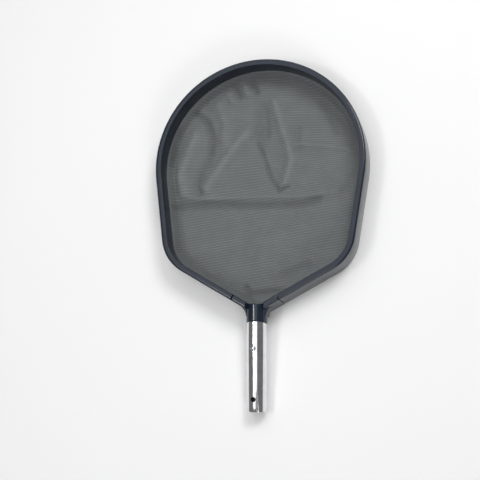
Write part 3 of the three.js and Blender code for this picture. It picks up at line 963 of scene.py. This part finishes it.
ribs = {
    "pitch": 3.9, "radius": 0.5, "sides": 5, "points": 130, "shortest": 8,
    # the first and last row from the cloth's middle, and how much longer than the rim a row starts
    "from": -185, "to": 190, "spare": 20,
    # the knitted rows lie level near the tip and climb to the right further down
    "riseLow": 0.155, "riseHigh": -0.015, "riseFrom": -60, "riseTo": 60,
}


# how much of a fold there is at a spot, from its nearest stretch
def foldShare(p, half, spots):
    nearest = 1e9
    for a, b in zip(spots, spots[1:]):
        a, b = Vector(a), Vector(b)
        t = shareOf((p - a).dot(b - a), 0, (b - a).length_squared)
        nearest = min(nearest, (p - a.lerp(b, t)).length)
    return math.exp(-(nearest / half) ** 2)


# the cloth's rise and its painted shade: the tops of folds are painted lighter and the creases painted
# darker, as light falls on them
def foldsAt(x, y):
    p, rise, tone = Vector((x, y)), 0, 0
    for half, high, shade, *spots in net["folds"]:
        share = foldShare(p, half, spots)
        rise += high * share
        tone += shade * share
    for scale, high in net["waves"]:
        rise += high * noise.noise(Vector((x / scale, y / scale, net["seed"])))
    return rise, max(-1, min(1, tone))


# how far each spot is inside the rim's inner edge, and so how high the cloth lies there
def clothHeight(rise, inside):
    slot, rest = net["slot"], net["rest"]
    side = (1 + math.cos(math.pi * shareOf(inside, net["sideStart"], net["sideRun"]))) / 2
    free = eased(shareOf(inside, net["foldsFrom"], net["foldsRun"]))
    return max(rest + (slot - rest) * side + rise * free, net["lowest"])


# rows of the knit, for the cloth's own coordinates: y = row + x * rise(row)
def rowRise(row):
    share = eased(shareOf(row, ribs["riseFrom"], ribs["riseTo"] - ribs["riseFrom"]))
    return ribs["riseLow"] + (ribs["riseHigh"] - ribs["riseLow"]) * share


def rowAt(x, y):
    row = y
    for _ in range(6):
        row = y - x * rowRise(row)
    return row


# the same loop with stations close together on its straight runs too
def evened(loop, step):
    made = []
    for (p, n), (q, m) in zip(loop, loop[1:] + loop[:1]):
        count = max(1, math.ceil((q - p).length / step))
        shares = [i / count for i in range(count)]
        made += [(p.lerp(q, share), n.lerp(m, share).normalized()) for share in shares]
    return made


# rings of (spot, how far inside the rim): even steps down the side, then shrinking to the middle
def netRings():
    loop = evened(stations["loop"], net["ringStep"] * net["alongShare"] * mm)
    middle = Vector(net["middle"])
    start, end, count = net["tuckedIn"], -net["ringedIn"], net["sideRings"]
    outwards = [start + (end - start) * i / count for i in range(count + 1)]
    rings = [[(point / mm + normal * u, -u) for point, normal in loop] for u in outwards]
    inner = [(p, (p - middle).length) for p, _ in rings[-1]]
    count = round(max(away for _, away in inner) / net["ringStep"])
    for i in range(1, count):
        share = 1 - i / count
        rings.append([
            (middle + (p - middle) * share, net["ringedIn"] + away * (1 - share)) for p, away in inner
        ])
    return rings + [[(middle, net["middleInside"])]]


def netSurface():
    rings = netRings()
    points, faces, rows, foldShaded = [], [], [], []
    for p, inside in [spot for ring in rings for spot in ring]:
        rise, tone = foldsAt(p.x, p.y)
        foldShaded.append(tone)
        points.append((p.x * mm, archY + p.y * mm, clothHeight(rise, inside) * mm))
        rows.append((p.x * mm, rowAt(p.x, p.y) * mm))
    size, last = len(rings[0]), len(rings) - 2
    for i in range(last):
        for k in range(size):
            l = (k + 1) % size
            faces.append((i * size + k, i * size + l, (i + 1) * size + l, (i + 1) * size + k))
    faces += [(last * size + k, last * size + (k + 1) % size, len(points) - 1) for k in range(size)]
    obj = meshObject("net_sheet", points, faces)
    # each point's painted fold shade, for the colour of the cloth and its ribs
    wear = obj.data.attributes.new("wear", "FLOAT", "POINT")
    wear.data.foreach_set("value", foldShaded)
    layer = obj.data.uv_layers.new(name="cloth")
    for spot in obj.data.loops:
        layer.data[spot.index].uv = rows[spot.vertex_index]
    return obj


# ribs: level rows laid over the cloth, bent to the knit's rise, dropped onto it and made into yarns
def ribTree():
    made = newTree("knitRibs", {
        "Cloth": "Object", "Rows": "Int", "Pitch": "Float", "First": "Vector", "Length": "Float",
        "Points": "Int", "Shortest": "Float", "Radius": "Float", "Sides": "Int", "Rise From": "Float",
        "Rise To": "Float", "Rise Low": "Float", "Rise High": "Float", "Material": "Material",
    })
    tree, given = made["tree"], made["in"]
    step = addNode(tree, "ShaderNodeCombineXYZ", {"Y": given["Pitch"]})
    starts = addNode(
        tree, "GeometryNodeMeshLine",
        {"Count": given["Rows"], "Start Location": given["First"], "Offset": step},
        mode="OFFSET",
    )
    reach = addNode(tree, "ShaderNodeCombineXYZ", {"X": given["Length"]})
    row = addNode(
        tree, "GeometryNodeCurvePrimitiveLine", {"Start": (0, 0, 0), "End": reach}
    )
    fine = addNode(
        tree, "GeometryNodeResampleCurve", {"Curve": row, "Count": given["Points"]}
    )
    rows = addNode(
        tree, "GeometryNodeInstanceOnPoints",
        {"Points": starts, "Instance": fine},
    )
    real = addNode(tree, "GeometryNodeRealizeInstances", {"Geometry": rows})
    spot = addNode(tree, "GeometryNodeInputPosition")
    parts = addNode(tree, "ShaderNodeSeparateXYZ", {"Vector": spot})
    rise = addNode(
        tree, "ShaderNodeMapRange",
        {"Value": parts.outputs["Y"], "From Min": given["Rise From"], "From Max": given["Rise To"],
         "To Min": given["Rise Low"], "To Max": given["Rise High"]},
        interpolation_type="SMOOTHSTEP",
    )
    climb = addNode(
        tree, "ShaderNodeCombineXYZ",
        {"Y": mathNode(tree, "MULTIPLY", parts.outputs["X"], rise)},
    )
    bent = addNode(
        tree, "GeometryNodeSetPosition", {"Geometry": real, "Offset": climb}
    )
    cloth = addNode(tree, "GeometryNodeObjectInfo", {"Object": given["Cloth"]})
    wear = addNode(tree, "GeometryNodeInputNamedAttribute", {"Name": "wear"})
    fall = addNode(
        tree, "GeometryNodeRaycast",
        {"Target Geometry": cloth.outputs["Geometry"], "Source Position": spot,
         "Ray Direction": (0, 0, -1), "Ray Length": 1.0, "Attribute": wear},
    )
    missed = addNode(tree, "FunctionNodeBooleanMath", {0: fall.outputs["Is Hit"]}, operation="NOT")
    over = addNode(
        tree, "GeometryNodeDeleteGeometry",
        {"Geometry": bent, "Selection": missed}, domain="POINT",
    )
    # the ribs take the cloth's painted fold shade with them
    foldShaded = addNode(
        tree, "GeometryNodeStoreNamedAttribute",
        {"Geometry": over, "Name": "wear", "Value": fall.outputs["Attribute"]},
        domain="POINT",
    )
    laid = addNode(
        tree, "GeometryNodeSetPosition",
        {"Geometry": foldShaded, "Position": fall.outputs["Hit Position"]},
    )
    length = addNode(tree, "GeometryNodeSplineLength")
    short = addNode(
        tree, "FunctionNodeCompare", {"A": length.outputs["Length"], "B": given["Shortest"]},
        data_type="FLOAT", operation="LESS_THAN",
    )
    kept = addNode(
        tree, "GeometryNodeDeleteGeometry",
        {"Geometry": laid, "Selection": short}, domain="CURVE",
    )
    yarnSection = addNode(
        tree, "GeometryNodeCurvePrimitiveCircle",
        {"Resolution": given["Sides"], "Radius": given["Radius"]},
    )
    yarn = addNode(
        tree, "GeometryNodeCurveToMesh",
        {"Curve": kept, "Profile Curve": yarnSection, "Fill Caps": True},
    )
    return finishTree(made, yarn)


def makeNet():
    sheet = netSurface()
    low, high = (net["middle"][1] + ribs[key] for key in ("from", "to"))
    span = outline["archRadius"] * 2 + ribs["spare"] * mm
    values = {
        "Cloth": sheet, "Rows": round((high - low) / ribs["pitch"]), "Pitch": ribs["pitch"] * mm,
        "First": (-span / 2, archY + low * mm, 2 * openFace), "Length": span, "Points": ribs["points"],
        "Shortest": ribs["shortest"] * mm, "Radius": ribs["radius"] * mm, "Sides": ribs["sides"],
        "Rise From": archY + ribs["riseFrom"] * mm, "Rise To": archY + ribs["riseTo"] * mm,
        "Rise Low": ribs["riseLow"], "Rise High": ribs["riseHigh"], "Material": ribYarn,
    }
    rows = grown(meshObject("net_ribs", [(0, 0, 0)]), ribTree(), **values)
    smoothShaded(rows, 80)
    thick = sheet.modifiers.new("thick", "SOLIDIFY")
    thick.thickness, thick.offset = net["thickness"] * mm, 0
    sheet = painted(smoothShaded(settled(sheet), 60), meshCloth)
    for piece in (sheet, rows):
        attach(piece, "frame")
    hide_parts("net_bag")
    print("net:", len(sheet.data.polygons), "faces, ribs:", len(rows.data.polygons))
    return sheet, rows


meshCloth = knittedMesh()
ribYarn = yarnMaterial("ribYarn", foldShaded=True)
netSheet, netRibs = makeNet()


# the hem hidden in the rim: a folded tape, its stitches, and a laid cord in the fold
hem = {
    "tape": [
        (2.6, 31.5, 0.2), (2.6, 24.5, 1.0), (5.8, 24.5, 1.0), (5.8, 31.5, 0.2), (5.1, 31.5, 0.2),
        (5.1, 25.2, 0.5), (3.3, 25.2, 0.5), (3.3, 31.5, 0.2),
    ],
    "tapeCut": (16.6, 952), "stitchPitch": 3.2, "stitchLength": 2.3, "stitchRadius": 0.24,
    "stitchDepth": 29.6, "stitchRows": (2.6, 5.8), "cordAt": (4.2, 26.35), "strandRadius": 0.4,
    "strandOut": 0.36, "strands": 3, "layLength": 5.5, "cordStep": 0.8, "cordSides": 36,
}


# yarn stitches at an even pitch along a path
def stitchTree():
    made = newTree("stitchRow", {"Stitch": "Object", "Pitch": "Float", "Material": "Material"})
    tree, given = made["tree"], made["in"]
    spots = addNode(
        tree, "GeometryNodeCurveToPoints",
        {"Curve": given["Geometry"], "Length": given["Pitch"]}, mode="LENGTH",
    )
    one = addNode(tree, "GeometryNodeObjectInfo", {"Object": given["Stitch"], "As Instance": True})
    copies = addNode(
        tree, "GeometryNodeInstanceOnPoints",
        {"Points": spots.outputs["Points"], "Instance": one.outputs["Geometry"],
         "Rotation": spots.outputs["Rotation"]},
    )
    return finishTree(made, copies)


# a laid cord: strands wound round a path by its tilt
def cordTree():
    made = newTree("laidCord", {
        "Section": "Object", "Step": "Float", "Lay": "Float", "Material": "Material",
    })
    tree, given = made["tree"], made["in"]
    fine = addNode(
        tree, "GeometryNodeResampleCurve",
        {"Curve": given["Geometry"], "Length": given["Step"]}, mode="LENGTH",
    )
    along = addNode(tree, "GeometryNodeSplineParameter")
    turns = mathNode(tree, "DIVIDE", along.outputs["Length"], given["Lay"])
    wound = addNode(
        tree, "GeometryNodeSetCurveTilt",
        {"Curve": fine, "Tilt": mathNode(tree, "MULTIPLY", turns, 2 * math.pi)},
    )
    section = addNode(tree, "GeometryNodeObjectInfo", {"Object": given["Section"]})
    body = addNode(
        tree, "GeometryNodeCurveToMesh",
        {"Curve": wound, "Profile Curve": section.outputs["Geometry"]},
    )
    return finishTree(made, body)


def hemPath(name, u, depth):
    points = [placed(station, u * mm, openFace - depth * mm) for station in stations["loop"]]
    return polyCurve(name, points, True)


def makeHem():
    tape = sweptPiece("hem_tape_fold", hem["tape"], stations["loop"], tapeWeave, 4, closed=True)
    radius, half = hem["stitchRadius"], hem["stitchLength"] / 2
    slim, near = radius * 0.8, half * 0.75
    one = lathed("stitch", [(0, -half), (slim, -near), (radius, 0), (slim, near), (0, half)], 5)
    values = {"Stitch": one, "Pitch": hem["stitchPitch"] * mm, "Material": thread}
    rows = [
        grown(hemPath("stitches", u, hem["stitchDepth"]), stitchRow, **values)
        for u in hem["stitchRows"]
    ]
    drop(one)
    stitches = painted(smoothShaded(joined("hem_stitches", rows), 60), thread)
    points, count = [], hem["cordSides"]
    for k in range(count):
        turn = 2 * math.pi * k / count
        lobe = hem["strandOut"] + hem["strandRadius"] * abs(math.cos(turn * hem["strands"] / 2))
        points.append((lobe * math.cos(turn) * mm, lobe * math.sin(turn) * mm, 0))
    section = polyCurve("cordSection", points, True)
    cord = grown(hemPath("hem_cord_laid", *hem["cordAt"]), cordTree(), Section=section,
                 Step=hem["cordStep"] * mm, Lay=hem["layLength"] * mm, Material=cordYarn)
    drop(section)
    smoothShaded(closedUp(cord), 50)
    for piece, slot in ((tape, "hem_tape"), (stitches, "hem_tape"), (cord, "hem_cord")):
        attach(piece, "frame")
    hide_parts("net_hem")
    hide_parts("hem_cord")
    print("hem:", len(tape.data.polygons), len(stitches.data.polygons), len(cord.data.polygons))


stitchRow = stitchTree()
tapeWeave, thread, cordYarn = map(yarnMaterial, ("tapeWeave", "thread", "cordYarn"))
makeHem()

# a pale floor under four soft lights and a dim even sky
stage = {
    "floor": (0.94, 0.94, 0.94), "cloud": 0.015, "cloudScale": 3, "dullness": 0.7,
    "floorSize": 6, "floorDrop": 0.2 * mm, "sky": 0.17,
    # each light: place, size, power and the spot it faces
    "roof": ((-0.24, 0.50, 1.75), (1.52, 3.3), 19, (-0.24, 0.50, 0)),
    "lamp": ((-0.70, -0.29, 1.70), (0.27, 0.24), 4.4, (-0.70, -0.29, 0)),
    "key": ((0.80, 1.00, 1.70), (0.7, 0.7), 17, (0, 0, 0)),
    "fill": ((0.90, -1.75, 1.50), (0.6, 0.6), 9, (0, 0, 0)),
}


def floorMaterial():
    material, tree, shader = newMaterial("paleFloor", Roughness=stage["dullness"])
    cloud = grain(tree, objectSpace(tree), stage["cloudScale"], 2.0)
    dark, light = ([c * (1 + side * stage["cloud"]) for c in stage["floor"]] for side in (-1, 1))
    tree.links.new(shades(tree, cloud, dark, light), shader.inputs["Base Color"])
    return material


def areaLight(name, place, size, power, aim):
    data = bpy.data.lights.new(name, "AREA")
    data.shape = "RECTANGLE"
    data.size, data.size_y = size
    data.energy = power
    light = newObject(name, data)
    light.location = place
    light.rotation_euler = (Vector(aim) - Vector(place)).to_track_quat("-Z", "Y").to_euler()


def makeStage():
    half, low = stage["floorSize"] / 2, -stage["floorDrop"]
    corners = [(x * half, y * half, low) for x, y in ((-1, -1), (1, -1), (1, 1), (-1, 1))]
    floor = painted(meshObject("floor", corners, [(0, 1, 2, 3)]), floorMaterial())
    world = bpy.data.worlds.new("world")
    world.use_nodes = True
    sky = world.node_tree.nodes["Background"].inputs
    sky["Color"].default_value = (1, 1, 1, 1)
    sky["Strength"].default_value = stage["sky"]
    bpy.context.scene.world = world
    for name in ("roof", "lamp", "key", "fill"):
        areaLight(name, *stage[name])
    bpy.context.scene.view_settings.view_transform = "Standard"


makeStage()
print("stage lit")
